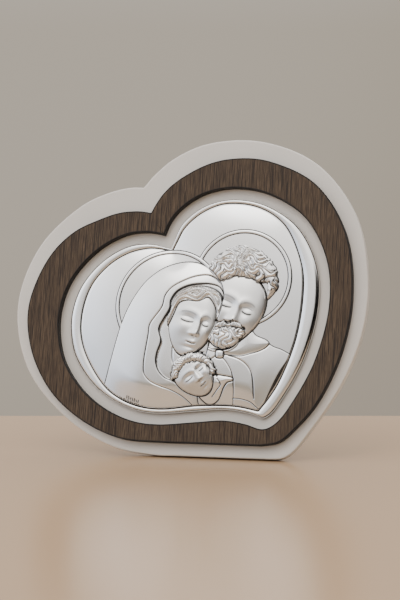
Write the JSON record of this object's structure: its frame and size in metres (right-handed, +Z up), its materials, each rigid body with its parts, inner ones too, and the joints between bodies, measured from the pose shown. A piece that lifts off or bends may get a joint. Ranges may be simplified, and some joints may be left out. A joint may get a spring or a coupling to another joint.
{
  "type": "heart-shaped icon panel on a back strut",
  "caption": "Leaning heart-shaped devotional panel: white board, dark wood band, embossed silver relief plate and a fixed strut behind; stands on a shelf.",
  "frame": {"origin": "on the surface it stands on, under the middle of its bounding box", "axes": "+Z up, +X across the panel to the viewer's right, -Y towards the viewer, whom the relief faces"},
  "size_m": [0.2, 0.0688, 0.1736],
  "materials": {
    "white_lacquer": "satin white lacquer on board",
    "dark_wood": "dark stained veneer with upright grain, satin",
    "polished_silver": "polished embossed silver sheet",
    "strut_lacquer": "white lacquer, plainer than the front"
  },
  "bodies": {
    "root": {"backing_board": "white_lacquer", "wood_band": "dark_wood", "silver_plate": "polished_silver", "back_strut": "strut_lacquer"}
  },
  "joints": []
}
